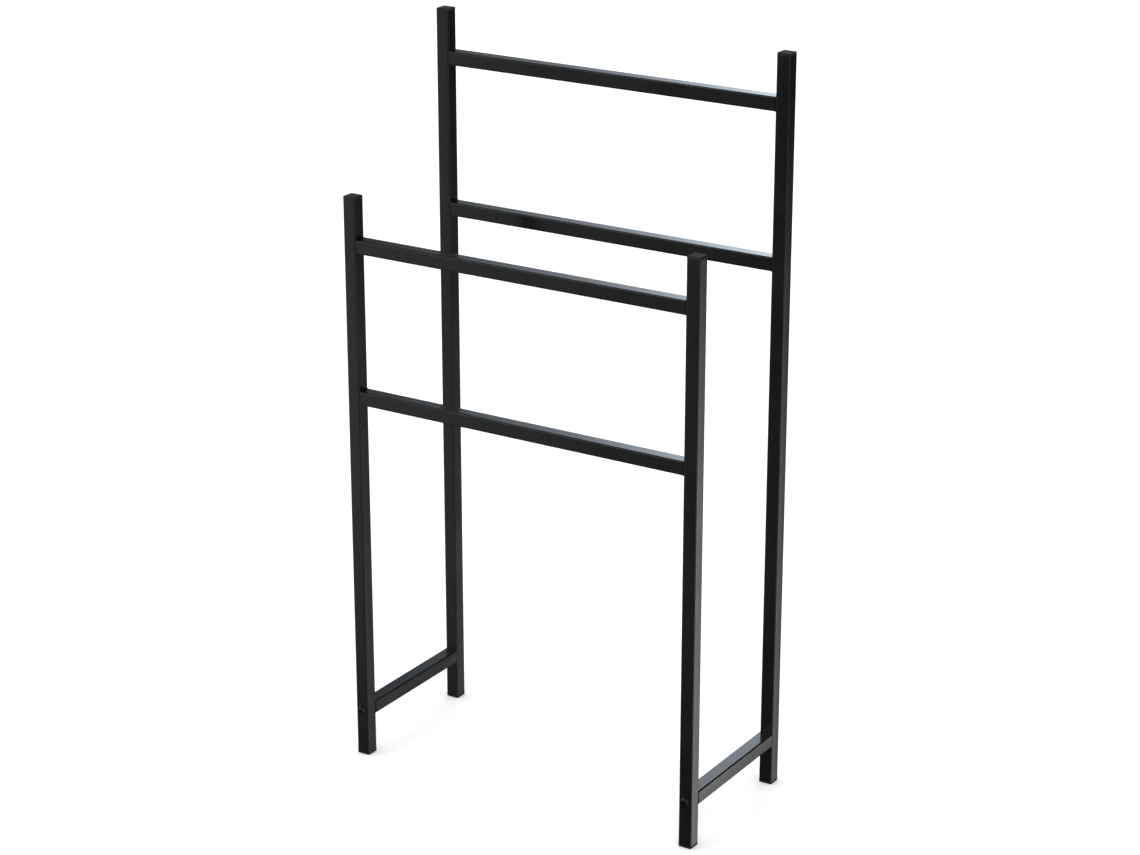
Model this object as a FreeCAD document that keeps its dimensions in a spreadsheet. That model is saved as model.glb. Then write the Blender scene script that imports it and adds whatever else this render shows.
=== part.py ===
import FreeCAD, Part
import math
import os

import Sketcher
from FreeCAD import Placement, Rotation, Vector

# Free-standing towel rack: two welded ladder frames of square steel tube, a tall
# one at the back and a lower one at the front, bolted together near the floor by
# two side rails. Plastic plugs close the ends of the four legs.
#
# Row frame: +X to the right, +Y to the back, +Z up, origin on the floor under
# the middle of the rack. Millimetres.

# ---------------------------------------------------------------- driving sizes
SIZES = (
    ("rack_width", 450.0, "outer faces of the left and right legs"),
    ("rack_depth", 200.0, "outer faces of the front and rear legs"),
    ("rear_height", 850.0, "floor to the top of the rear caps"),
    ("front_height", 674.0, "floor to the top of the front caps"),
    ("bar_drop", 48.0, "top of a cap down to the top of the upper bar"),
    ("bar_pitch", 176.0, "upper bar to lower bar of one frame"),
    ("rail_height", 48.0, "floor to the underside of a side rail"),
    ("tube_size", 16.0, "outside of the square tube"),
    ("tube_wall", 1.0, "wall of the square tube"),
    ("tube_corner", 1.5, "outer corner radius of the square tube"),
    ("plug_overhang", 0.1, "flange of a plug beyond each face of the tube"),
    ("cap_flange", 3.0, "thickness of a top cap's flange"),
    ("cap_round", 1.2, "rounding round the top of a cap"),
    ("foot_flange", 2.5, "thickness of a foot plug's flange"),
    ("foot_chamfer", 0.6, "chamfer round the sole of a foot plug"),
    ("stem_length", 16.0, "stem of a plug inside its tube"),
    ("stem_wall", 1.4, "wall of the hollow stem"),
    ("rib_depth", 0.9, "rib of a plug beyond its stem"),
    ("rib_thickness", 1.0, "thickness of a rib"),
    ("rib_pitch", 3.5, "from one rib to the next"),
    ("rib_start", 2.0, "flange to the first rib"),
    ("plug_clearance", 0.05, "ribs to the inside of the tube"),
    ("thread_size", 6.0, "screw thread, outside diameter"),
    ("screw_length", 30.0, "under the head to the tip"),
    ("screw_tip", 1.0, "chamfer at the tip of the thread"),
    ("head_size", 10.5, "button head diameter"),
    ("head_height", 3.3, "button head height"),
    ("head_edge", 0.5, "straight edge at the foot of the head"),
    ("key_size", 4.0, "hexagon socket across flats"),
    ("key_depth", 2.1, "hexagon socket depth"),
    ("hole_clearance", 0.3, "leg hole beyond the thread, on the radius"),
    ("nut_length", 12.0, "threaded block in the end of a rail"),
    ("nut_clearance", 0.05, "block to tube, and screw to block"),
    ("weld_leg", 0.8, "leg length of a fillet weld"),
)
RIBS_PER_PLUG = 4

doc = FreeCAD.newDocument("TowelRack")
sheet = doc.addObject("Spreadsheet::Sheet", "Sizes")
for row, (alias, value, meaning) in enumerate(SIZES, start=1):
    sheet.set(f"A{row}", alias)
    sheet.set(f"B{row}", str(value))
    sheet.setAlias(f"B{row}", alias)
    sheet.set(f"C{row}", meaning)
doc.recompute()

# Sizes that follow from the driving ones, as expressions on the sheet.
HALF_WIDTH = "Sizes.rack_width / 2 - Sizes.tube_size / 2"
HALF_DEPTH = "Sizes.rack_depth / 2 - Sizes.tube_size / 2"
BORE = "(Sizes.tube_size - 2 * Sizes.tube_wall)"
BORE_CORNER = "(Sizes.tube_corner - Sizes.tube_wall)"
BAR_LENGTH = "Sizes.rack_width - 2 * Sizes.tube_size"
RAIL_LENGTH = "Sizes.rack_depth - 2 * Sizes.tube_size"
RAIL_CENTRE = "(Sizes.rail_height + Sizes.tube_size / 2)"
STEM = f"({BORE} - 2 * Sizes.plug_clearance - 2 * Sizes.rib_depth)"

SIDES = {"left": -1, "right": 1}
FRAMES = {"front": -1, "rear": 1}
HEIGHTS = {"front": "Sizes.front_height", "rear": "Sizes.rear_height"}

TURNS = {
    "up": Rotation(),
    "down": Rotation(Vector(1, 0, 0), 180),
    "to_right": Rotation(Vector(0, 1, 0), 90),
    "to_back": Rotation(Vector(1, 0, 0), -90),
    "to_front": Rotation(Vector(1, 0, 0), 90),
}


# ------------------------------------------------------------- document helpers
def value(expression):
    """What an expression on the sheet comes to, in mm: where a sketch starts from."""
    return float(sheet.evalExpression(expression))


def origin_plane(body, role):
    """The body's own XY_Plane, XZ_Plane or YZ_Plane."""
    return next(f for f in body.Origin.OriginFeatures if f.Role == role)


def new_sketch(body, name, role="XY_Plane", offset=None):
    """An empty sketch on one of the body's planes, raised along its normal by offset."""
    sketch = body.newObject("Sketcher::SketchObject", name)
    sketch.AttachmentSupport = (origin_plane(body, role), [""])
    sketch.MapMode = "FlatFace"
    if offset:
        sketch.setExpression("AttachmentOffset.Base.z", offset)
    return sketch


def bind(sketch, index, name, expression):
    """Names a dimension of a sketch and ties it to the sheet."""
    sketch.renameConstraint(index, name)
    sketch.setExpression("Constraints." + name, expression)


def add_rounded_square(sketch, name, size, corner):
    """A square with round corners about the sketch's origin, drawn anticlockwise."""
    half, radius = value(size) / 2, value(corner)
    first = sketch.GeometryCount
    flat = half - radius
    for quarter in range(4):
        turn = Rotation(Vector(0, 0, 1), 90 * quarter)
        start, end = Vector(-flat, -half, 0), Vector(flat, -half, 0)
        line = Part.LineSegment(turn.multVec(start), turn.multVec(end))
        circle = Part.Circle(turn.multVec(Vector(flat, -flat, 0)), Vector(0, 0, 1), radius)
        begin = math.radians(90 * quarter - 90)
        sketch.addGeometry(line)
        sketch.addGeometry(Part.ArcOfCircle(circle, begin, begin + math.pi / 2))
    lines = [first + 2 * k for k in range(4)]
    arcs = [first + 2 * k + 1 for k in range(4)]
    add = sketch.addConstraint
    for k in range(4):
        add(Sketcher.Constraint("Tangent", lines[k], 2, arcs[k], 1))
        add(Sketcher.Constraint("Tangent", arcs[k], 2, lines[(k + 1) % 4], 1))
        add(Sketcher.Constraint("Vertical" if k % 2 else "Horizontal", lines[k]))
    for k in range(1, 4):
        add(Sketcher.Constraint("Equal", arcs[0], arcs[k]))
    add(Sketcher.Constraint("Symmetric", arcs[0], 3, arcs[2], 3, -1, 1))
    width = add(Sketcher.Constraint("DistanceX", lines[3], 1, lines[1], 1, 2 * half))
    bind(sketch, width, name + "_width", size)
    height = add(Sketcher.Constraint("DistanceY", lines[0], 1, lines[2], 1, 2 * half))
    bind(sketch, height, name + "_height", size)
    rounding = add(Sketcher.Constraint("Radius", arcs[0], radius))
    bind(sketch, rounding, name + "_corner", corner)


def add_circle(sketch, name, diameter, height=None):
    """A circle on the sketch's vertical axis, at its origin or at a height above it."""
    rise = value(height) if height else 0.0
    start = Part.Circle(Vector(0, rise, 0), Vector(0, 0, 1), value(diameter) / 2)
    circle = sketch.addGeometry(start)
    add = sketch.addConstraint
    add(Sketcher.Constraint("PointOnObject", circle, 3, -2))
    if height:
        up = add(Sketcher.Constraint("DistanceY", -1, 1, circle, 3, rise))
        bind(sketch, up, name + "_height", height)
    else:
        add(Sketcher.Constraint("PointOnObject", circle, 3, -1))
    across = add(Sketcher.Constraint("Diameter", circle, value(diameter)))
    bind(sketch, across, name + "_diameter", diameter)


def pad(body, sketch, name, length, down=False):
    """A pad along the sketch's normal, or against it."""
    feature = body.newObject("PartDesign::Pad", name)
    feature.Profile = sketch
    feature.Reversed = down
    feature.setExpression("Length", length)
    sketch.Visibility = False
    return feature


def cut_through(body, sketch, name):
    """A pocket through the whole body, both ways from the sketch. It must remove metal."""
    doc.recompute()
    before = body.Shape.Volume
    feature = body.newObject("PartDesign::Pocket", name)
    feature.Profile = sketch
    feature.Type = "ThroughAll"
    feature.Midplane = True
    doc.recompute()
    if body.Shape.Volume >= before:
        raise RuntimeError(f"{name} of {body.Label} cut nothing")
    return feature


def edges_at(shape, height):
    """The names of the edges that lie wholly at one height."""
    return [
        f"Edge{n}"
        for n, edge in enumerate(shape.Edges, start=1)
        if max(abs(v.Z - height) for v in edge.Vertexes) < 1e-6
    ]


def new_body(label):
    body = doc.addObject("PartDesign::Body", label)
    body.Label = label
    return body


def place(piece, turn, x=None, y=None, z=None):
    """Puts a piece in the row frame: a fixed turn, and a position tied to the sheet."""
    piece.Placement = Placement(Vector(), TURNS[turn])
    for axis, expression in (("x", x), ("y", y), ("z", z)):
        if expression:
            piece.setExpression("Placement.Base." + axis, expression)


def signed(sign, expression):
    return f"{sign} * ({expression})"


# ------------------------------------------------------------------------ tubes
def build_tube(label, length):
    """A square tube along the body's Z, from its origin up."""
    body = new_body(label)
    section = new_sketch(body, "section")
    add_rounded_square(section, "outside", "Sizes.tube_size", "Sizes.tube_corner")
    add_rounded_square(section, "inside", BORE, BORE_CORNER)
    pad(body, section, "tube", length)
    return body


def build_leg(frame, side):
    """A leg tube between its two plugs, drilled front to back for the rail's screw."""
    length = f"{HEIGHTS[frame]} - Sizes.cap_flange - Sizes.foot_flange"
    body = build_tube(f"{frame}_{side}_leg", length)
    hole = new_sketch(body, "screw_hole_outline", "XZ_Plane")
    diameter = "Sizes.thread_size + 2 * Sizes.hole_clearance"
    add_circle(hole, "hole", diameter, f"{RAIL_CENTRE} - Sizes.foot_flange")
    cut_through(body, hole, "screw_hole")
    x = signed(SIDES[side], HALF_WIDTH)
    y = signed(FRAMES[frame], HALF_DEPTH)
    place(body, "up", x, y, "Sizes.foot_flange")
    return body


def build_bar(frame, level):
    """A towel bar between the legs of one frame, butted against both and welded."""
    body = build_tube(f"{frame}_{level}_bar", BAR_LENGTH)
    place(
        body,
        "to_right",
        f"-({BAR_LENGTH}) / 2",
        signed(FRAMES[frame], HALF_DEPTH),
        f"{bar_top(frame, level)} - Sizes.tube_size / 2",
    )
    return body


def build_rail(side):
    """A side rail between a front leg and the rear leg behind it."""
    body = build_tube(f"{side}_side_rail", RAIL_LENGTH)
    x = signed(SIDES[side], HALF_WIDTH)
    place(body, "to_back", x, f"-({RAIL_LENGTH}) / 2", RAIL_CENTRE)
    return body


def bar_top(frame, level):
    """The height of a bar's top face, as an expression."""
    upper = f"{HEIGHTS[frame]} - Sizes.bar_drop"
    return upper if level == "upper" else f"{upper} - Sizes.bar_pitch"


# ------------------------------------------------------------------------ plugs
def build_plug(label, flange, rim, rim_size):
    """A push-in plug: flange above the origin, hollow ribbed stem below it."""
    body = new_body(label)
    over = "Sizes.plug_overhang"
    outline = new_sketch(body, "flange_outline")
    add_rounded_square(
        outline, "flange", f"Sizes.tube_size + 2 * {over}", f"Sizes.tube_corner + {over}"
    )
    plate = pad(body, outline, "flange", flange)
    doc.recompute()
    top = max(v.Z for v in plate.Shape.Vertexes)
    edge = body.newObject("PartDesign::" + rim, "rim")
    edge.Base = (plate, edges_at(plate.Shape, top))
    edge.setExpression("Radius" if rim == "Fillet" else "Size", rim_size)
    doc.recompute()

    wall = new_sketch(body, "stem_outline")
    inner = f"{STEM} - 2 * Sizes.stem_wall"
    add_rounded_square(wall, "outer", STEM, "Sizes.tube_corner")
    add_rounded_square(wall, "inner", inner, "Sizes.tube_corner / 2")
    pad(body, wall, "stem", "Sizes.stem_length", down=True)

    ring = new_sketch(body, "rib_outline", offset="-Sizes.rib_start")
    ribs = f"{BORE} - 2 * Sizes.plug_clearance"
    add_rounded_square(ring, "rib", ribs, f"{BORE_CORNER} + Sizes.tube_wall / 2")
    add_rounded_square(ring, "root", inner, "Sizes.tube_corner / 2")
    rib = pad(body, ring, "rib", "Sizes.rib_thickness", down=True)
    row = body.newObject("PartDesign::LinearPattern", "ribs")
    row.Originals = [rib]
    row.Direction = (origin_plane(body, "XY_Plane"), [""])
    row.Reversed = True
    row.Mode = "Spacing"
    row.setExpression("Offset", "Sizes.rib_pitch")
    row.Occurrences = RIBS_PER_PLUG
    body.Tip = row
    doc.recompute()
    return body


def build_cap(frame, side):
    """The plug in the top of a leg."""
    body = build_plug(f"{frame}_{side}_cap", "Sizes.cap_flange", "Fillet", "Sizes.cap_round")
    x = signed(SIDES[side], HALF_WIDTH)
    y = signed(FRAMES[frame], HALF_DEPTH)
    place(body, "up", x, y, f"{HEIGHTS[frame]} - Sizes.cap_flange")
    return body


def build_foot(frame, side):
    """The plug in the bottom of a leg, sole down."""
    body = build_plug(
        f"{frame}_{side}_foot", "Sizes.foot_flange", "Chamfer", "Sizes.foot_chamfer"
    )
    x = signed(SIDES[side], HALF_WIDTH)
    y = signed(FRAMES[frame], HALF_DEPTH)
    place(body, "down", x, y, "Sizes.foot_flange")
    return body


# ------------------------------------------------------- screws and their blocks
def build_screw(frame, side):
    """A button-head socket screw. Its head is above the origin, its thread below."""
    body = new_body(f"{frame}_{side}_screw")
    profile = new_sketch(body, "profile", "XZ_Plane")
    draw_screw_profile(profile)
    turned = body.newObject("PartDesign::Revolution", "turned_blank")
    turned.Profile = profile
    turned.ReferenceAxis = (profile, ["V_Axis"])
    turned.Angle = 360
    doc.recompute()

    before = body.Shape.Volume
    hexagon = new_sketch(body, "socket_outline", offset="Sizes.head_height")
    add_hexagon(hexagon, "Sizes.key_size")
    socket = body.newObject("PartDesign::Pocket", "key_socket")
    socket.Profile = hexagon
    socket.setExpression("Length", "Sizes.key_depth")
    doc.recompute()
    if body.Shape.Volume >= before:
        raise RuntimeError("the key socket cut nothing")
    x = signed(SIDES[side], HALF_WIDTH)
    y = signed(FRAMES[frame], "Sizes.rack_depth / 2")
    place(body, "to_front" if frame == "front" else "to_back", x, y, RAIL_CENTRE)
    return body


def draw_screw_profile(sketch):
    """Half the screw's section, from the tip up its outside and over a domed crown."""
    thread, head = "Sizes.thread_size / 2", "Sizes.head_size / 2"
    corners = (
        ("tip", f"{thread} - Sizes.screw_tip", "-Sizes.screw_length"),
        ("thread_end", thread, "Sizes.screw_tip - Sizes.screw_length"),
        ("neck", thread, None),
        ("seat", head, None),
        ("shoulder", head, "Sizes.head_edge"),
    )
    points = [Vector(0, value("-Sizes.screw_length"), 0)]
    points += [Vector(value(r), value(z) if z else 0.0, 0) for _, r, z in corners]
    crown = Vector(0, value("Sizes.head_height"), 0)
    for start, end in zip(points, points[1:]):
        sketch.addGeometry(Part.LineSegment(start, end))
    # The dome is one arc from the shoulder to the crown, its centre on the screw's axis.
    reach, rise = points[-1].x, crown.y - points[-1].y
    below = (reach**2 - rise**2) / (2 * rise)
    centre = Vector(0, points[-1].y - below, 0)
    circle = Part.Circle(centre, Vector(0, 0, 1), below + rise)
    lean = math.atan2(below, reach)
    dome = sketch.addGeometry(Part.ArcOfCircle(circle, lean, math.pi / 2))
    axis = sketch.addGeometry(Part.LineSegment(crown, points[0]))

    add = sketch.addConstraint
    last = len(corners) - 1
    for line in range(last):
        add(Sketcher.Constraint("Coincident", line, 2, line + 1, 1))
    add(Sketcher.Constraint("Coincident", last, 2, dome, 1))
    add(Sketcher.Constraint("Coincident", dome, 2, axis, 1))
    add(Sketcher.Constraint("Coincident", axis, 2, 0, 1))
    for curve, point in ((axis, 1), (axis, 2), (dome, 3)):
        add(Sketcher.Constraint("PointOnObject", curve, point, -2))
    add(Sketcher.Constraint("Horizontal", 0))
    top = add(Sketcher.Constraint("DistanceY", -1, 1, dome, 2, crown.y))
    bind(sketch, top, "crown", "Sizes.head_height")
    for line, (name, radius, height) in enumerate(corners):
        point = points[line + 1]
        across = add(Sketcher.Constraint("DistanceX", -1, 1, line, 2, point.x))
        bind(sketch, across, name + "_radius", radius)
        if height:
            along = add(Sketcher.Constraint("DistanceY", -1, 1, line, 2, point.y))
            bind(sketch, along, name + "_height", height)
        else:
            add(Sketcher.Constraint("PointOnObject", line, 2, -1))


def add_hexagon(sketch, across_flats):
    """A regular hexagon about the sketch's origin, with two level sides."""
    across_corners = f"{across_flats} / cos(30 deg)"
    reach = value(across_corners) / 2
    turns = [Rotation(Vector(0, 0, 1), 60 * k) for k in range(6)]
    ends = [turn.multVec(Vector(reach, 0, 0)) for turn in turns]
    for k in range(6):
        sketch.addGeometry(Part.LineSegment(ends[k], ends[(k + 1) % 6]))
    guide = sketch.addGeometry(Part.Circle(Vector(), Vector(0, 0, 1), reach), True)
    add = sketch.addConstraint
    add(Sketcher.Constraint("Coincident", guide, 3, -1, 1))
    for k in range(6):
        add(Sketcher.Constraint("Coincident", k, 2, (k + 1) % 6, 1))
        add(Sketcher.Constraint("PointOnObject", k, 1, guide))
    for k in range(1, 6):
        add(Sketcher.Constraint("Equal", 0, k))
    add(Sketcher.Constraint("Horizontal", 1))
    size = add(Sketcher.Constraint("Diameter", guide, 2 * reach))
    bind(sketch, size, "across_corners", across_corners)


def build_nut(frame, side):
    """The tapped block in one end of a side rail, flush with the tube's end."""
    body = new_body(f"{frame}_{side}_rail_nut")
    outline = new_sketch(body, "block_outline")
    size = f"{BORE} - 2 * Sizes.nut_clearance"
    add_rounded_square(outline, "block", size, f"{BORE_CORNER} + Sizes.tube_wall / 2")
    add_circle(outline, "thread", "Sizes.thread_size + 2 * Sizes.nut_clearance")
    pad(body, outline, "block", "Sizes.nut_length")
    x = signed(SIDES[side], HALF_WIDTH)
    y = signed(FRAMES[frame], f"({RAIL_LENGTH}) / 2")
    place(body, "to_back" if frame == "front" else "to_front", x, y, RAIL_CENTRE)
    return body


# ------------------------------------------------------------------------ welds
def build_weld(frame, level, side, edge):
    """One fillet weld in the corner between a bar's top or bottom face and a leg."""
    weld = doc.addObject("Part::Wedge", f"{frame}_{level}_bar_weld_{side}_{edge}")
    weld.Xmin = weld.Ymin = weld.Zmin = weld.X2min = weld.X2max = weld.Z2min = 0
    weld.setExpression("Xmax", "Sizes.weld_leg")
    weld.setExpression("Ymax", "Sizes.weld_leg")
    length = "Sizes.tube_size - 2 * Sizes.tube_corner"
    weld.setExpression("Zmax", length)
    weld.setExpression("Z2max", length)
    # The wedge's right angle runs along its Z; it is turned to run along the row's Y.
    up, out = (1 if edge == "top" else -1), SIDES[side]
    into_bar, away = Vector(-out, 0, 0), Vector(0, 0, up)
    along = into_bar.cross(away)
    weld.Placement = Placement(Vector(), Rotation(into_bar, away, along, "ZXY"))
    weld.setExpression("Placement.Base.x", signed(out, f"({BAR_LENGTH}) / 2"))
    run = f"{signed(FRAMES[frame], HALF_DEPTH)} - {along.y} * ({length}) / 2"
    weld.setExpression("Placement.Base.y", run)
    face = bar_top(frame, level) + ("" if edge == "top" else " - Sizes.tube_size")
    weld.setExpression("Placement.Base.z", face)
    return weld


def build_frame_welds(frame):
    """All fillet welds of one ladder frame, as separate beads in one group."""
    group = doc.addObject("Part::Compound", f"{frame}_frame_welds")
    group.Links = [
        build_weld(frame, level, side, edge)
        for level in ("upper", "lower")
        for side in SIDES
        for edge in ("top", "bottom")
    ]
    return group


# --------------------------------------------------------------------- assembly
pieces = []
for frame in FRAMES:
    for side in SIDES:
        pieces.append(build_leg(frame, side))
        pieces.append(build_cap(frame, side))
        pieces.append(build_foot(frame, side))
        pieces.append(build_screw(frame, side))
        pieces.append(build_nut(frame, side))
    for level in ("upper", "lower"):
        pieces.append(build_bar(frame, level))
    pieces.append(build_frame_welds(frame))
for side in SIDES:
    pieces.append(build_rail(side))
doc.recompute()

for item in doc.Objects:
    if "Invalid" in item.State or "Error" in item.State:
        raise RuntimeError(f"{item.Label} failed: {item.State}")
for piece in pieces:
    if piece.Shape.isNull() or not piece.Shape.isValid():
        raise RuntimeError(f"{piece.Label} has no valid shape")

os.makedirs("parts", exist_ok=True)
for piece in pieces:
    piece.Shape.exportStep(f"parts/{piece.Label}.step")
    print(piece.Label, len(piece.Shape.Solids), round(piece.Shape.Volume, 1))
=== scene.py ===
import math

import bpy
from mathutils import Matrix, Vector


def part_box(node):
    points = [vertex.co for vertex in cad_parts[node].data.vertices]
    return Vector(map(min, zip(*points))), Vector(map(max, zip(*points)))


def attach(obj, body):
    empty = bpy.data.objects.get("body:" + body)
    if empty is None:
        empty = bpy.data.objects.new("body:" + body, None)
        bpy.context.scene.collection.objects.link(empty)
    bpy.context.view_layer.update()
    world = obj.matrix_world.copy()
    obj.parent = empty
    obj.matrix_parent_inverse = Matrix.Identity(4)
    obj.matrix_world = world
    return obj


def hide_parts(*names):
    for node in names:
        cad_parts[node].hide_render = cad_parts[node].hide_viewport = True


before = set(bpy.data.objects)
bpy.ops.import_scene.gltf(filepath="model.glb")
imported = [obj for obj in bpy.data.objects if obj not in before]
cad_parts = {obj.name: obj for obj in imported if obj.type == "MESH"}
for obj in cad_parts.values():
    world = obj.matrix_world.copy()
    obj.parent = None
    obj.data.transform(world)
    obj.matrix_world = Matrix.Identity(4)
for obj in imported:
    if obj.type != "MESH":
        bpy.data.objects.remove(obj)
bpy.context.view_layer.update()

MM = 0.001

# ------------------------------------------------------------------ the four legs
# Each leg is a length of welded square steel tube, sawn off square and drilled front
# to back near its foot for the screw of the side rail. The frames are powder coated
# after welding, so the tubes and the weld beads share one satin black skin.


class Wire:
    """An output of a node. Arithmetic on it adds Math nodes, so a formula reads as one."""

    def __init__(self, graph, socket):
        self.graph = graph
        self.socket = socket

    def __add__(self, other):
        return self.graph.math("ADD", self, other)

    def __sub__(self, other):
        return self.graph.math("SUBTRACT", self, other)

    def __rsub__(self, other):
        return self.graph.math("SUBTRACT", other, self)

    def __mul__(self, other):
        return self.graph.math("MULTIPLY", self, other)

    def __truediv__(self, other):
        return self.graph.math("DIVIDE", self, other)

    def __pow__(self, other):
        return self.graph.math("POWER", self, other)

    def __abs__(self):
        return self.graph.math("ABSOLUTE", self)

    __radd__ = __add__
    __rmul__ = __mul__


class Graph:
    """A shader or geometry node tree, and the few ways in which this script adds to it."""

    def __init__(self, tree):
        self.tree = tree

    def add(self, kind, settings=None, sockets=None, out=0):
        """A node: its settings, then a value, a wire or several wires for each socket.

        Gives the wire that leaves it by the output asked for.
        """
        node = self.tree.nodes.new(kind)
        for name, value in (settings or {}).items():
            setattr(node, name, value)
        for name, value in (sockets or {}).items():
            for each in value if isinstance(value, list) else [value]:
                if isinstance(each, Wire):
                    self.tree.links.new(each.socket, node.inputs[name])
                else:
                    node.inputs[name].default_value = each
        return Wire(self, node.outputs[out]) if len(node.outputs) else None

    def math(self, operation, *values):
        """One Math node."""
        return self.add("ShaderNodeMath", {"operation": operation}, dict(enumerate(values)))

    def span(self, value, low, high):
        """Carries a value smoothly from 0 at low to 1 at high, and holds it past them."""
        sockets = {0: value, 1: low, 2: high}
        return self.add("ShaderNodeMapRange", {"interpolation_type": "SMOOTHSTEP"}, sockets)

    def blend(self, factor, low, high):
        """A colour between two others."""
        return self.add("ShaderNodeMix", {"data_type": "RGBA"}, {0: factor, 6: low, 7: high}, 2)

    def noise(self, where, scale, detail=2.0, roughness=0.5):
        """Soft noise, with this many cells to a metre."""
        sockets = {"Vector": where, "Scale": scale, "Detail": detail, "Roughness": roughness}
        return self.add("ShaderNodeTexNoise", None, sockets)

    def parts(self, vector):
        """The three components of a vector."""
        node = self.add("ShaderNodeSeparateXYZ", None, {0: vector}).socket.node
        return [Wire(self, socket) for socket in node.outputs]

    def vector(self, x=0.0, y=0.0, z=0.0):
        """A vector from its three components."""
        return self.add("ShaderNodeCombineXYZ", None, {0: x, 1: y, 2: z})


def new_material(name):
    """An empty material, as a graph."""
    material = bpy.data.materials.new(name)
    material.use_nodes = True
    material.node_tree.nodes.clear()
    return material, Graph(material.node_tree)


def surface(graph, sockets):
    """Ends a material in one Principled shader."""
    shader = graph.add("ShaderNodeBsdfPrincipled", None, sockets)
    graph.add("ShaderNodeOutputMaterial", None, {"Surface": shader})


def bump(graph, height, distance, strength=1.0, below=None):
    """A bump of this height in metres, on top of another bump if one is given."""
    sockets = {"Height": height, "Distance": distance, "Strength": strength}
    if below:
        sockets["Normal"] = below
    return graph.add("ShaderNodeBump", None, sockets)


def make_powder_coat():
    """Satin black powder coat: a soft orange peel, thinner and lighter along the edges."""
    material, graph = new_material("satin_black_powder_coat")
    where = graph.add("ShaderNodeTexCoord", out="Object")
    place = graph.add("ShaderNodeAttribute", {"attribute_name": "tube_place"}, out="Vector")
    across, back, along = graph.parts(place)
    # Across a face the nearer of the two middle lines falls from an edge to nothing.
    out_from_middle = graph.math("MINIMUM", abs(across), abs(back))
    edge = graph.span(out_from_middle, 6.0 * MM, 7.7 * MM)
    cloud = graph.noise(where, 16.0, 3.0)
    worn = edge * graph.span(graph.noise(where, 130.0, 4.0, 0.6), 0.45, 0.68)
    drawn = graph.noise(graph.vector(across, back, along * 0.02), 420.0, 2.0)
    speck = graph.span(graph.noise(where, 2600.0, 1.0), 0.70, 0.80)

    black = (0.0036, 0.0039, 0.0039, 1.0)
    grey = (0.0058, 0.0062, 0.0061, 1.0)
    pale = (0.0220, 0.0230, 0.0225, 1.0)
    skin = graph.blend(graph.span(cloud, 0.3, 0.7), black, grey)
    colour = graph.blend(worn * 0.30 + speck * 0.20, skin, pale)
    roughness = 0.11 + cloud * 0.06 + drawn * 0.03 + worn * 0.06
    peel = bump(graph, graph.noise(where, 950.0, 2.0), 0.018 * MM, 0.3)
    normal = bump(graph, drawn, 0.015 * MM, 0.5, peel)
    surface(graph, {
        "Base Color": colour,
        "Roughness": roughness,
        "Specular IOR Level": 0.5,
        "Normal": normal,
    })
    return material


def geometry_tree(name, sizes):
    """An empty Geometry Nodes tree, with a named input for each size, and those inputs."""
    tree = bpy.data.node_groups.new(name, "GeometryNodeTree")
    tree.interface.new_socket("Geometry", in_out="INPUT", socket_type="NodeSocketGeometry")
    for label, kind in sizes.items():
        tree.interface.new_socket(label, in_out="INPUT", socket_type="NodeSocket" + kind)
    tree.interface.new_socket("Geometry", in_out="OUTPUT", socket_type="NodeSocketGeometry")
    graph = Graph(tree)
    entry = graph.add("NodeGroupInput").socket.node
    return graph, {socket.name: Wire(graph, socket) for socket in entry.outputs}


def end_tree(graph, geometry, material, place=None, turn=None):
    """Creases the sharp edges, puts the mesh in place, and ends the tree."""
    sharpest_smooth = math.radians(32)
    crease = graph.add("GeometryNodeInputMeshEdgeAngle")
    sharp = graph.add(
        "FunctionNodeCompare", {"operation": "GREATER_THAN"}, {0: crease, 1: sharpest_smooth}
    )
    soft = graph.add(
        "GeometryNodeSetShadeSmooth", {"domain": "FACE"}, {0: geometry, "Shade Smooth": True}
    )
    creased = graph.add(
        "GeometryNodeSetShadeSmooth",
        {"domain": "EDGE"},
        {0: soft, "Selection": sharp, "Shade Smooth": False},
    )
    if place:
        sockets = {"Geometry": creased, "Translation": place, "Rotation": turn}
        creased = graph.add("GeometryNodeTransform", None, sockets)
    real = graph.add("GeometryNodeRealizeInstances", None, {"Geometry": creased})
    coated = graph.add("GeometryNodeSetMaterial", None, {"Geometry": real, "Material": material})
    graph.add("NodeGroupOutput", None, {"Geometry": coated})


def grow(name, graph, values, start=None):
    """Runs a tree with these inputs, and gives its result as an object with a plain mesh."""
    grown = bpy.data.objects.new(name, start or bpy.data.meshes.new(name))
    bpy.context.scene.collection.objects.link(grown)
    shape = grown.modifiers.new("shape", "NODES")
    shape.node_group = graph.tree
    for item in graph.tree.interface.items_tree:
        if item.in_out == "INPUT" and item.name in values:
            shape[item.identifier] = values[item.name]
    flats = grown.modifiers.new("flat faces", "WEIGHTED_NORMAL")
    flats.keep_sharp = True
    bpy.context.view_layer.update()
    evaluated = grown.evaluated_get(bpy.context.evaluated_depsgraph_get())
    mesh = bpy.data.meshes.new_from_object(evaluated)
    for slot in reversed(range(len(mesh.materials))):
        if mesh.materials[slot] is None:
            mesh.materials.pop(index=slot)
    grown.modifiers.clear()
    grown.data = mesh
    mesh.name = name
    return grown


def rounded_square(graph, size, corner):
    """A square outline with round corners, about the origin."""
    square = graph.add("GeometryNodeCurvePrimitiveQuadrilateral", None, {"Width": size, "Height": size})
    sockets = {"Curve": square, "Count": 6, "Radius": corner}
    return graph.add("GeometryNodeFilletCurve", {"mode": "POLY"}, sockets)


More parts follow.
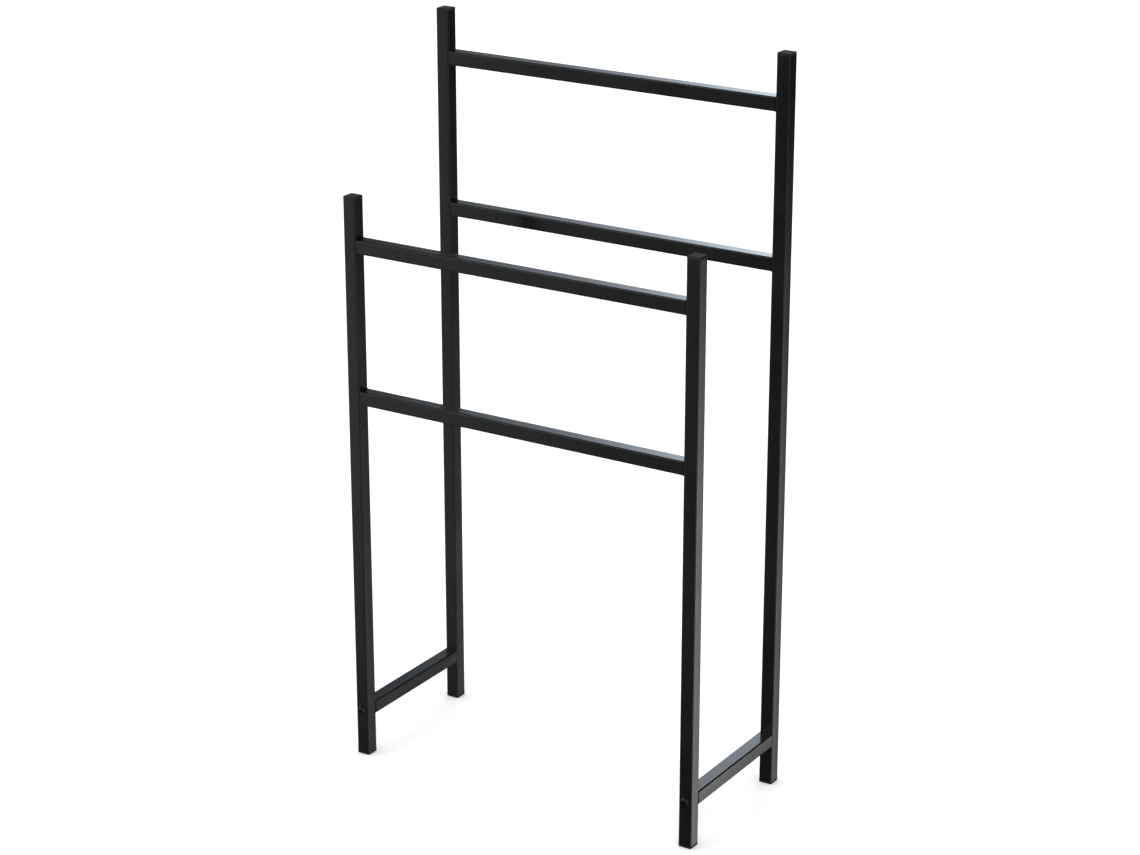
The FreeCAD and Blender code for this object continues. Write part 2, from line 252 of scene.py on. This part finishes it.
def square_tube(graph, size, wall, corner, length, step=0.0):
    """A hollow square tube that stands on the origin. Each point keeps its own place on it.

    Both ends can be ground back by a small step, which leaves a dark line at a joint.
    """
    outlines = [
        rounded_square(graph, size, corner),
        rounded_square(graph, size - 2 * wall, corner - 0.5 * wall),
    ]
    both = graph.add("GeometryNodeJoinGeometry", None, {"Geometry": outlines})
    section = graph.add("GeometryNodeFillCurve", {"mode": "NGONS"}, {"Curve": both})
    risen, top = section, True
    slope = 0.02 * MM
    rises = (step, slope, length - 2 * (step + slope), slope, step) if step else (length,)
    for rise in rises:
        sockets = {"Mesh": risen, "Selection": top, "Offset Scale": rise, "Individual": False}
        stage = graph.add("GeometryNodeExtrudeMesh", {"mode": "FACES"}, sockets).socket.node
        risen, top = Wire(graph, stage.outputs["Mesh"]), Wire(graph, stage.outputs["Top"])
    bottom = graph.add("GeometryNodeFlipFaces", None, {"Mesh": section})
    whole = graph.add("GeometryNodeJoinGeometry", None, {"Geometry": [bottom, risen]})
    closed = graph.add("GeometryNodeMergeByDistance", None, {"Geometry": whole, "Distance": 1e-6})
    if step:
        # The outer points that are nearer to an end than the step move in by the step.
        x, y, z = graph.parts(graph.add("GeometryNodeInputPosition"))
        end = graph.math("GREATER_THAN", abs(z - length * 0.5), length * 0.5 - step - slope * 0.5)
        skin = graph.math("GREATER_THAN", graph.math("MAXIMUM", abs(x), abs(y)), size * 0.5 - wall * 0.5)
        drawn_in = 1.0 - end * skin * step * 2.0 / size
        sockets = {"Geometry": closed, "Position": graph.vector(x * drawn_in, y * drawn_in, z)}
        closed = graph.add("GeometryNodeSetPosition", None, sockets)
    sockets = {"Geometry": closed, "Name": "tube_place", "Value": graph.add("GeometryNodeInputPosition")}
    return graph.add(
        "GeometryNodeStoreNamedAttribute", {"data_type": "FLOAT_VECTOR", "domain": "POINT"}, sockets
    )


TUBE_SIZES = {
    "Size": "Float",
    "Wall": "Float",
    "Corner": "Float",
    "Length": "Float",
    "Step": "Float",
    "Place": "Vector",
    "Turn": "Rotation",
}
tube_wall = 1.0 * MM
leg_step = 0.25 * MM
bar_step = 0.6 * MM
tube_corner = 1.5 * MM
screw_hole = 6.6 * MM
powder_coat = make_powder_coat()

leg_graph, leg_inputs = geometry_tree(
    "drilled square tube", {**TUBE_SIZES, "Hole": "Float", "Hole Height": "Float"}
)
drill = leg_graph.add(
    "GeometryNodeMeshCylinder",
    None,
    {"Vertices": 48, "Radius": leg_inputs["Hole"] * 0.5, "Depth": leg_inputs["Size"] * 2},
)
drill = leg_graph.add(
    "GeometryNodeTransform",
    None,
    {
        "Geometry": drill,
        "Translation": leg_graph.vector(0.0, 0.0, leg_inputs["Hole Height"]),
        "Rotation": (math.pi / 2, 0.0, 0.0),
    },
)
leg_tube = square_tube(
    leg_graph,
    *(leg_inputs[k] for k in ("Size", "Wall", "Corner", "Length", "Step")),
)
leg_tube = leg_graph.add(
    "GeometryNodeMeshBoolean",
    {"operation": "DIFFERENCE", "solver": "EXACT"},
    {"Mesh 1": leg_tube, "Mesh 2": drill},
)
end_tree(leg_graph, leg_tube, powder_coat, leg_inputs["Place"], leg_inputs["Turn"])

screw_low, screw_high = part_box("front_left_screw")
screw_height = (screw_low.z + screw_high.z) / 2

for leg in ("front_left", "front_right", "rear_left", "rear_right"):
    low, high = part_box(leg + "_leg")
    values = {
        "Size": high.x - low.x,
        "Wall": tube_wall,
        "Corner": tube_corner,
        "Length": high.z - low.z,
        "Step": leg_step,
        "Place": ((low.x + high.x) / 2, (low.y + high.y) / 2, low.z),
        "Turn": (0.0, 0.0, 0.0),
        "Hole": screw_hole,
        "Hole Height": screw_height - low.z,
    }
    piece = grow(leg + "_leg_tube", leg_graph, values)
    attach(piece, "root")
    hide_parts(leg + "_leg")

# ---------------------------------------------------------- towel bars and side rails
# The same tube, cut to length. A towel bar is butted between the legs of its frame and
# welded. A side rail is butted between a front and a rear leg, and screws pull it tight.
tube_graph, tube_inputs = geometry_tree("square tube", TUBE_SIZES)
plain_tube = square_tube(
    tube_graph,
    *(tube_inputs[k] for k in ("Size", "Wall", "Corner", "Length", "Step")),
)
end_tree(tube_graph, plain_tube, powder_coat, tube_inputs["Place"], tube_inputs["Turn"])

to_the_right = (0.0, math.pi / 2, 0.0)
to_the_back = (-math.pi / 2, 0.0, 0.0)
tubes_that_lie = {
    "front_upper_bar": to_the_right,
    "front_lower_bar": to_the_right,
    "rear_upper_bar": to_the_right,
    "rear_lower_bar": to_the_right,
    "left_side_rail": to_the_back,
    "right_side_rail": to_the_back,
}
for node, turn in tubes_that_lie.items():
    low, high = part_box(node)
    start = (low + high) / 2
    if turn is to_the_right:
        start.x = low.x
        length = high.x - low.x
    else:
        start.y = low.y
        length = high.y - low.y
    values = {
        "Size": high.z - low.z,
        "Wall": tube_wall,
        "Corner": tube_corner,
        "Length": length,
        "Step": bar_step,
        "Place": tuple(start),
        "Turn": turn,
    }
    piece = grow(node + "_tube", tube_graph, values)
    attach(piece, "root")
    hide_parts(node)

# ----------------------------------------------------------------- weld beads
# Short fillet welds run front to back in the corners above and below each end of a
# towel bar. The bead is laid in small overlapping ripples, then coated with the tubes.
weld_ripples = 9.0
ripple_depth = 0.10
end_taper = 0.55
weld_graph, weld_inputs = geometry_tree(
    "fillet welds", {"Leg": "Float", "Run": "Float", "Ripples": "Float"}
)
path = weld_graph.add(
    "GeometryNodeCurvePrimitiveLine",
    {"mode": "POINTS"},
    {
        "Start": weld_graph.vector(y=weld_inputs["Run"] * -0.5),
        "End": weld_graph.vector(y=weld_inputs["Run"] * 0.5),
    },
)
path = weld_graph.add("GeometryNodeResampleCurve", None, {"Curve": path, "Count": 73})
way = weld_graph.add("GeometryNodeSplineParameter")
swell = abs(weld_graph.math("SINE", way * weld_inputs["Ripples"] * math.pi))
taper = 1.0 - abs(way * 2.0 - 1.0) ** 6.0 * end_taper
thickness = (1.0 - ripple_depth + swell * ripple_depth) * taper
path = weld_graph.add("GeometryNodeSetCurveRadius", None, {"Curve": path, "Radius": thickness})
bead_section = weld_graph.add(
    "GeometryNodeCurveArc",
    {"mode": "RADIUS"},
    {
        "Resolution": 9,
        "Radius": weld_inputs["Leg"],
        "Start Angle": -math.pi / 2,
        "Sweep Angle": math.pi / 2,
        "Connect Center": True,
    },
)
bead = weld_graph.add(
    "GeometryNodeCurveToMesh",
    None,
    {"Curve": path, "Profile Curve": bead_section, "Fill Caps": True},
)
quarters = weld_graph.add(
    "GeometryNodeInputNamedAttribute", {"data_type": "FLOAT"}, {"Name": "quarters"}
)
beads = weld_graph.add(
    "GeometryNodeInstanceOnPoints",
    None,
    {
        "Points": weld_inputs["Geometry"],
        "Instance": bead,
        "Rotation": weld_graph.vector(y=quarters * (math.pi / 2)),
    },
)
real_beads = weld_graph.add("GeometryNodeRealizeInstances", None, {"Geometry": beads})
end_tree(weld_graph, real_beads, powder_coat)

for level in ("front", "rear"):
    low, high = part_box(level + "_frame_welds")
    corners = []
    for bar in ("upper", "lower"):
        bar_low, bar_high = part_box(f"{level}_{bar}_bar")
        middle = (low.y + high.y) / 2
        # Above and below the left end, then below and above the right one: each corner
        # needs its bead a quarter turn further round than the corner before it.
        corners.append((bar_low.x, middle, bar_high.z))
        corners.append((bar_low.x, middle, bar_low.z))
        corners.append((bar_high.x, middle, bar_low.z))
        corners.append((bar_high.x, middle, bar_high.z))
    corner_mesh = bpy.data.meshes.new(level + "_weld_corners")
    corner_mesh.from_pydata(corners, [], [])
    turned = corner_mesh.attributes.new("quarters", "FLOAT", "POINT")
    for index in range(len(corners)):
        turned.data[index].value = index % 4
    upper_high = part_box(level + "_upper_bar")[1]
    values = {"Leg": high.z - upper_high.z, "Run": high.y - low.y, "Ripples": weld_ripples}
    piece = grow(level + "_weld_beads", weld_graph, values, corner_mesh)
    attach(piece, "root")
    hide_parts(level + "_frame_welds")

# -------------------------------------------------------------- tapped rail blocks
# A square steel block, drilled and tapped, is pressed into each end of a side rail for
# the screw to pull on. It is sawn from bar and zinc plated, and hidden inside the tube.


def make_plated_steel():
    """Zinc over sawn bar: fine saw lines, a blue-grey sheen and dull cloudy patches."""
    material, graph = new_material("zinc_plated_steel")
    where = graph.add("ShaderNodeTexCoord", out="Object")
    x, y, z = graph.parts(where)
    lines = graph.noise(graph.vector(x * 0.06, y, z * 0.06), 9000.0, 3.0, 0.6)
    patch = graph.noise(where, 240.0, 3.0)
    bright = (0.56, 0.58, 0.60, 1.0)
    dull = (0.40, 0.42, 0.43, 1.0)
    surface(graph, {
        "Base Color": graph.blend(graph.span(patch, 0.35, 0.7), bright, dull),
        "Metallic": 1.0,
        "Roughness": 0.30 + patch * 0.14 + lines * 0.06,
        "Normal": bump(graph, lines, 0.01 * MM, 0.6),
    })
    return material


plated_steel = make_plated_steel()
for level in ("front", "rear"):
    for side in ("left", "right"):
        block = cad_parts[f"{level}_{side}_rail_nut"]
        block.data.materials.clear()
        block.data.materials.append(plated_steel)

# -------------------------------------------------------------------- screws
# Button-head hexagon socket screws, M6 by 30, headed from steel wire with a rolled
# thread and a black oxide finish. Each passes a leg and screws into a rail block.


def make_blackened_steel():
    """Black oxide: near black, a little uneven, rubbed brighter where a key has turned."""
    material, graph = new_material("black_oxide_steel")
    where = graph.add("ShaderNodeTexCoord", out="Object")
    patch = graph.noise(where, 420.0, 4.0, 0.6)
    fine = graph.noise(where, 3200.0, 2.0)
    rubbed = graph.span(patch, 0.60, 0.78)
    black = (0.008, 0.008, 0.009, 1.0)
    steel = (0.060, 0.060, 0.063, 1.0)
    surface(graph, {
        "Base Color": graph.blend(rubbed * 0.6, black, steel),
        "Metallic": 0.45,
        "Roughness": 0.20 + fine * 0.10 + patch * 0.06,
        "Normal": bump(graph, fine, 0.012 * MM, 0.5),
    })
    return material


def loft(name, rings):
    """A closed mesh through rings of equally many points. Each ring runs anticlockwise."""
    count = len(rings[0])
    points = [point for ring in rings for point in ring]
    faces = [tuple(reversed(range(count)))]
    for level in range(len(rings) - 1):
        below, above = level * count, (level + 1) * count
        for k in range(count):
            following = (k + 1) % count
            faces.append((below + k, below + following, above + following, above + k))
    last = (len(rings) - 1) * count
    faces.append(tuple(range(last, last + count)))
    mesh = bpy.data.meshes.new(name)
    mesh.from_pydata(points, [], faces)
    return mesh


def circle_ring(radius, height, count=48):
    """A ring of points on a circle."""
    angles = [math.tau * k / count for k in range(count)]
    return [(radius * math.cos(a), radius * math.sin(a), height) for a in angles]


def hexagon_ring(across_flats, height):
    """The same directions, met by the sides of a hexagon."""
    ring = []
    for x, y, _ in circle_ring(1.0, 0.0):
        off_middle = math.atan2(y, x) % (math.pi / 3) - math.pi / 6
        reach = across_flats / 2 / math.cos(off_middle)
        ring.append((x * reach, y * reach, height))
    return ring


key_size = 4.0 * MM
key_depth = 2.1 * MM
key_chamfer = 0.16 * MM
key_sink = 0.06 * MM
drill_radius = key_size * 0.42
drill_tip = key_size * 0.06
drill_step = 0.05 * MM
drill_point = 0.5 * MM
mouth_rim = 0.22 * MM
flat_lip = 0.35 * MM
thread_radius = 3.0 * MM
thread_pitch = 1.0 * MM
thread_depth = 0.6 * MM
thread_sink = 0.05 * MM
ridge_share = 0.9
run_out_start = 0.94
plain_neck = 3.0 * MM
tip_chamfer = 0.5 * MM
tip_height = 0.6 * MM
neck_fillet = 0.3 * MM
head_edge = 0.5 * MM
head_break = 0.12 * MM


def make_screw_blank(head, head_height, length):
    """The screw before its thread is rolled: its head above the origin, its shank below."""
    core = thread_radius - thread_depth
    rings = [
        circle_ring(core - tip_chamfer, -length),
        circle_ring(core, -length + tip_height),
        circle_ring(core, -neck_fillet),
        circle_ring(core + neck_fillet, 0.0),
        circle_ring(head - head_break, 0.0),
        circle_ring(head, head_break),
        circle_ring(head, head_edge),
    ]
    # The dome is one arc, centred on the axis, from the straight edge to a flat lip.
    mouth = key_size / 2 / math.cos(math.pi / 6) + mouth_rim
    lip = mouth + flat_lip
    below = (head**2 - lip**2 + head_edge**2 - head_height**2) / (2 * (head_height - head_edge))
    round_radius = math.hypot(head, head_edge + below)
    start, end = math.asin(head / round_radius), math.asin(lip / round_radius)
    dome_steps = 9
    for step in range(1, dome_steps + 1):
        lean = start + (end - start) * step / dome_steps
        height = round_radius * math.cos(lean) - below
        rings.append(circle_ring(round_radius * math.sin(lean), height))
    # The broached hexagon has a chamfered mouth, and ends in the cone of the pilot drill.
    key_floor = head_height - key_depth
    rings += [
        circle_ring(mouth, head_height),
        hexagon_ring(key_size + key_chamfer, head_height - key_sink),
        hexagon_ring(key_size, head_height - key_sink - key_chamfer),
        hexagon_ring(key_size, key_floor),
        circle_ring(drill_radius, key_floor - drill_step),
        circle_ring(drill_tip, key_floor - drill_step - drill_point),
    ]
    return loft("screw_blank", rings)


screw_graph, screw_inputs = geometry_tree(
    "rolled thread",
    {
        "Core": "Float",
        "Depth": "Float",
        "Pitch": "Float",
        "Thread Length": "Float",
        "Screw Length": "Float",
        "Place": "Vector",
        "Turn": "Rotation",
    },
)
turns = screw_inputs["Thread Length"] / screw_inputs["Pitch"]
helix = screw_graph.add(
    "GeometryNodeCurveSpiral",
    None,
    {
        "Resolution": 32,
        "Rotations": turns,
        "Start Radius": screw_inputs["Core"] - thread_sink,
        "End Radius": screw_inputs["Core"] - thread_sink,
        "Height": screw_inputs["Thread Length"],
    },
)
along = screw_graph.add("GeometryNodeSplineParameter")
run_out = screw_graph.span(abs(along * 2.0 - 1.0), 1.0, run_out_start)
helix = screw_graph.add("GeometryNodeSetCurveRadius", None, {"Curve": helix, "Radius": run_out})
helix = screw_graph.add("GeometryNodeSetCurveNormal", {"mode": "Z_UP"}, {"Curve": helix})
ridge = screw_graph.add(
    "GeometryNodeCurvePrimitiveCircle",
    {"mode": "RADIUS"},
    {"Resolution": 3, "Radius": screw_inputs["Depth"] * ridge_share},
)
thread = screw_graph.add(
    "GeometryNodeCurveToMesh",
    None,
    {"Curve": helix, "Profile Curve": ridge, "Fill Caps": True},
)
thread = screw_graph.add(
    "GeometryNodeTransform",
    None,
    {"Geometry": thread, "Translation": screw_graph.vector(z=screw_inputs["Screw Length"] * -1.0)},
)
whole = screw_graph.add(
    "GeometryNodeJoinGeometry", None, {"Geometry": [screw_inputs["Geometry"], thread]}
)
black_steel = make_blackened_steel()
end_tree(screw_graph, whole, black_steel, screw_inputs["Place"], screw_inputs["Turn"])

for level, turn in (("front", (math.pi / 2, 0.0, 0.0)), ("rear", (-math.pi / 2, 0.0, 0.0))):
    for side in ("left", "right"):
        low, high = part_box(f"{level}_{side}_screw")
        leg_low, leg_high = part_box(f"{level}_{side}_leg")
        seat = leg_low.y if level == "front" else leg_high.y
        head_height = seat - low.y if level == "front" else high.y - seat
        length = high.y - low.y - head_height
        blank = make_screw_blank((high.x - low.x) / 2, head_height, length)
        values = {
            "Core": thread_radius - thread_depth,
            "Depth": thread_depth,
            "Pitch": thread_pitch,
            "Thread Length": length - plain_neck,
            "Screw Length": length,
            "Place": ((low.x + high.x) / 2, seat, (low.z + high.z) / 2),
            "Turn": turn,
        }
        piece = grow(f"{level}_{side}_socket_screw", screw_graph, values, blank)
        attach(piece, "root")
        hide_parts(f"{level}_{side}_screw")

# ---------------------------------------------------------- top caps and foot plugs
# Push-in plugs moulded in black polyethylene close both ends of each leg. A hollow
# stem with four barbed ribs grips the tube; only the flange stays outside.
stem_length = 16.0 * MM
stem_wall = 1.4 * MM
stem_chamfer = 0.5 * MM
stem_taper = 0.4 * MM
bore_end = 0.4 * MM
rib_depth = 0.9 * MM
rib_thickness = 1.0 * MM
rib_pitch = 3.5 * MM
rib_start = 2.0 * MM
rib_count = 4
rib_taper = 0.055 / MM
plug_clearance = 0.05 * MM
plug_overhang = 0.1 * MM
plug_corner = tube_corner + plug_overhang
leg_low, leg_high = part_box("front_left_leg")
rib_half = (leg_high.x - leg_low.x) / 2 - tube_wall - plug_clearance
stem_half = rib_half - rib_depth


def make_plug_plastic():
    """Moulded black plastic with a fine spark-eroded grain and faint flow marks."""
    material, graph = new_material("grained_black_plastic")
    where = graph.add("ShaderNodeTexCoord", out="Object")
    flow = graph.noise(where, 95.0, 3.0, 0.6)
    grain = graph.noise(where, 4200.0, 2.0, 0.6)
    scuff = graph.span(graph.noise(where, 700.0, 4.0, 0.7), 0.62, 0.80)
    black = (0.0085, 0.0088, 0.0092, 1.0)
    grey = (0.0130, 0.0135, 0.0140, 1.0)
    colour = graph.blend(graph.span(flow, 0.3, 0.7) * 0.7 + scuff * 0.3, black, grey)
    surface(graph, {
        "Base Color": colour,
        "Roughness": 0.62 + grain * 0.14 + flow * 0.06,
        "Specular IOR Level": 0.27,
        "Normal": bump(graph, grain, 0.02 * MM, 0.6),
    })
    return material


def square_ring(half, corner, height):
    """A square with round corners, seven points to a corner."""
    ring = []
    for quarter in range(4):
        turn = math.pi / 2 * quarter
        x = (half - corner) * (1 if quarter in (0, 3) else -1)
        y = (half - corner) * (1 if quarter in (0, 1) else -1)
        for step in range(7):
            angle = turn + math.pi / 12 * step
            ring.append((x + corner * math.cos(angle), y + corner * math.sin(angle), height))
    return ring


def make_plug(flange, thick, rim, rim_steps):
    """A plug: its flange above the origin with a rounded or cut rim, its stem below."""
    bore = stem_half - stem_wall
    rings = [
        square_ring(bore, tube_corner / 2, -bore_end),
        square_ring(bore, tube_corner / 2, -stem_length),
        square_ring(stem_half - stem_taper, tube_corner, -stem_length),
        square_ring(stem_half, tube_corner, -stem_length + stem_chamfer),
        square_ring(stem_half, tube_corner, 0.0),
        square_ring(flange, plug_corner, 0.0),
    ]
    for step in range(rim_steps + 1):
        lean = math.pi / 2 * step / rim_steps
        inward = rim * (1 - math.cos(lean))
        height = thick - rim * (1 - math.sin(lean))
        rings.append(square_ring(flange - inward, plug_corner - inward, height))
    return loft("plug", rings)


plug_graph, plug_inputs = geometry_tree(
    "ribs of a plug",
    {
        "Rib Size": "Float",
        "Rib Wall": "Float",
        "Rib Corner": "Float",
        "Rib Thickness": "Float",
        "Rib Pitch": "Float",
        "Rib Start": "Float",
        "Rib Count": "Int",
        "Place": "Vector",
        "Turn": "Rotation",
    },
)
rib = square_tube(
    plug_graph, *(plug_inputs["Rib " + k] for k in ("Size", "Wall", "Corner", "Thickness"))
)
# A barb: the edge that goes in first is narrower than the edge that holds.
rib_place = plug_graph.add("GeometryNodeInputPosition")
rib_x, rib_y, rib_z = plug_graph.parts(rib_place)
narrow = 1.0 - (plug_inputs["Rib Thickness"] - rib_z) * rib_taper
rib = plug_graph.add(
    "GeometryNodeSetPosition",
    None,
    {"Geometry": rib, "Position": plug_graph.vector(rib_x * narrow, rib_y * narrow, rib_z)},
)
row = plug_graph.add(
    "GeometryNodeMeshLine",
    None,
    {
        "Count": plug_inputs["Rib Count"],
        "Start Location": plug_graph.vector(
            z=(plug_inputs["Rib Start"] + plug_inputs["Rib Thickness"]) * -1.0
        ),
        "Offset": plug_graph.vector(z=plug_inputs["Rib Pitch"] * -1.0),
    },
)
ribs = plug_graph.add("GeometryNodeInstanceOnPoints", None, {"Points": row, "Instance": rib})
real_ribs = plug_graph.add("GeometryNodeRealizeInstances", None, {"Geometry": ribs})
whole = plug_graph.add(
    "GeometryNodeJoinGeometry", None, {"Geometry": [plug_inputs["Geometry"], real_ribs]}
)
plug_plastic = make_plug_plastic()
end_tree(plug_graph, whole, plug_plastic, plug_inputs["Place"], plug_inputs["Turn"])

plug_kinds = {
    # kind: rounding or chamfer of the rim, steps in it, and the turn that seats the plug
    "cap": (1.2 * MM, 6, (0.0, 0.0, 0.0)),
    "foot": (0.6 * MM, 1, (math.pi, 0.0, 0.0)),
}
for level in ("front", "rear"):
    for side in ("left", "right"):
        leg_low, leg_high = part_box(f"{level}_{side}_leg")
        for kind, (rim, rim_steps, turn) in plug_kinds.items():
            low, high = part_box(f"{level}_{side}_{kind}")
            seat = leg_high.z if kind == "cap" else leg_low.z
            thick = high.z - seat if kind == "cap" else seat - low.z
            plug = make_plug((high.x - low.x) / 2, thick, rim, rim_steps)
            values = {
                "Rib Size": rib_half * 2,
                "Rib Wall": rib_depth + stem_wall / 2,
                "Rib Corner": tube_corner - tube_wall / 2,
                "Rib Thickness": rib_thickness,
                "Rib Pitch": rib_pitch,
                "Rib Start": rib_start,
                "Rib Count": rib_count,
                "Place": ((low.x + high.x) / 2, (low.y + high.y) / 2, seat),
                "Turn": turn,
            }
            piece = grow(f"{level}_{side}_{kind}_plug", plug_graph, values, plug)
            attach(piece, "root")
            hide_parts(f"{level}_{side}_{kind}")

# ------------------------------------------------------------------- the floor
# A plain pale floor, painted and matt, that runs far enough to fill the view. It stands
# still under the rack and is no part of it, and the satin coat does not mirror it.


def make_floor_paint():
    """Matt off-white paint, a little uneven."""
    material, graph = new_material("pale_floor")
    where = graph.add("ShaderNodeTexCoord", out="Object")
    cloud = graph.noise(where, 1.5, 2.0)
    colour = graph.blend(cloud, (0.90, 0.90, 0.90, 1.0), (0.93, 0.93, 0.93, 1.0))
    surface(graph, {"Base Color": colour, "Roughness": 0.9, "Specular IOR Level": 0.1})
    return material


reach = 14.0
floor_mesh = bpy.data.meshes.new("floor")
floor_mesh.from_pydata(
    [(-reach, -reach, 0.0), (reach, -reach, 0.0), (reach, reach, 0.0), (-reach, reach, 0.0)],
    [],
    [(0, 1, 2, 3)],
)
floor = bpy.data.objects.new("floor", floor_mesh)
bpy.context.scene.collection.objects.link(floor)
floor_mesh.materials.append(make_floor_paint())
floor.visible_glossy = False

# ---------------------------------------------------------------- studio light
# A dim studio round the rack, with soft glows that the satin coat mirrors: panels low
# behind and in front, and the lit sweep of paper under them. A very wide lamp overhead
# lights the floor evenly. It leaves only faint shadows, and the coat does not mirror it.
world = bpy.data.worlds.new("studio")
bpy.context.scene.world = world
world.use_nodes = True
world.node_tree.nodes.clear()
sky = Graph(world.node_tree)
way_x, way_y, way_z = sky.parts(sky.add("ShaderNodeTexCoord", out="Generated"))
degrees = 180.0 / math.pi
height = sky.math("ARCSINE", way_z) * degrees
behind_left = sky.math("ARCTAN2", way_x * -1.0, way_y) * degrees
behind_right = behind_left * -1.0
front_left = sky.math("ARCTAN2", way_x * -1.0, way_y * -1.0) * degrees
front_right = sky.math("ARCTAN2", way_x, way_y * -1.0) * degrees


def glow(bearing, edges, heights):
    """A soft patch: it rises and falls over these bearings and these heights, in degrees."""
    across = sky.span(bearing, edges[0], edges[1]) * sky.span(bearing, edges[3], edges[2])
    up = sky.span(height, heights[0], heights[1]) * sky.span(height, heights[3], heights[2])
    return across * up


# The panel leans: low down, its left end fades out further to the right.
panel_middle = 18.0
panel_lean = 0.28
leaning = behind_left + (panel_middle - height) * panel_lean
panel = glow(leaning, (-15.0, 5.0, 23.5, 38.8), (2.0, 6.0, 17.0, 36.0))
panel_core = glow(leaning, (-15.0, 5.0, 27.5, 31.8), (2.0, 6.0, 17.0, 36.0))
sweep_line = glow(behind_right, (28.3, 29.9, 30.4, 32.0), (-80.0, -60.0, -24.0, -12.0))
sweep_right = glow(behind_right, (35.4, 37.6, 60.0, 80.0), (-80.0, -60.0, -25.0, -12.0))
front_panel = glow(front_left, (25.0, 41.0, 60.0, 80.0), (-27.0, -22.0, -8.0, 0.0))
right_sweep = glow(front_right, (10.0, 45.0, 80.0, 125.0), (-80.0, -60.0, -12.0, 2.0))
back_sweep = glow(behind_left, (-12.0, 0.0, 12.0, 32.0), (-80.0, -60.0, -12.0, 2.0))
high_panel = glow(front_right, (-128.0, -85.0, 60.0, 120.0), (-2.0, 6.0, 22.0, 45.0))
glows = (
    (panel, 2.25),
    (panel_core, 2.2),
    (sweep_line, 4.2),
    (sweep_right, 0.65),
    (front_panel, 0.62),
    (right_sweep, 0.55),
    (back_sweep, 0.55),
    (high_panel, 1.7),
)
dim_room = 0.02
level = sum((patch * strength for patch, strength in glows), dim_room)

white = (1.0, 1.0, 1.0, 1.0)
cool = (0.80, 0.90, 1.0, 1.0)
tint = sky.blend(sky.span(panel, 0.0, 0.1), white, cool)
mirrored = sky.add("ShaderNodeBackground", None, {"Color": tint, "Strength": level})
seen = sky.add("ShaderNodeBackground", None, {"Color": white, "Strength": 1.0})
looked_at = sky.add("ShaderNodeLightPath", out="Is Camera Ray")
both = sky.add("ShaderNodeMixShader", None, {0: looked_at, 1: mirrored, 2: seen})
sky.add("ShaderNodeOutputWorld", None, {"Surface": both})

lamp = bpy.data.lights.new("wide_lamp", "SUN")
lamp.angle = math.radians(100.0)
lamp.energy = 3.3
lamp_above = bpy.data.objects.new("wide_lamp", lamp)
lamp_above.location = (0.0, 0.0, 5.0)
lamp_above.visible_glossy = False
bpy.context.scene.collection.objects.link(lamp_above)

# -------------------------------------------------------------------- camera
# Three-quarter view from the right and a little above, from 3.2 m away with a long
# lens, so that the far frame is drawn nearly as large as the near one.
aim = Vector((0.0059, 0.0, 0.4185))
distance = 3.2
turn = math.radians(32.2)
tilt = math.radians(19.85)
lens = 90.98
film_width = 36.0
camera_data = bpy.data.cameras.new("camera")
camera_data.lens = lens
camera_data.sensor_width = film_width
camera_data.clip_end = 100.0
camera = bpy.data.objects.new("camera", camera_data)
look = Vector((-math.sin(turn) * math.cos(tilt), math.cos(turn) * math.cos(tilt), -math.sin(tilt)))
camera.location = aim - look * distance
camera.rotation_euler = (math.pi / 2 - tilt, 0.0, turn)
bpy.context.scene.collection.objects.link(camera)
bpy.context.scene.camera = camera
bpy.context.scene.view_settings.view_transform = "Standard"
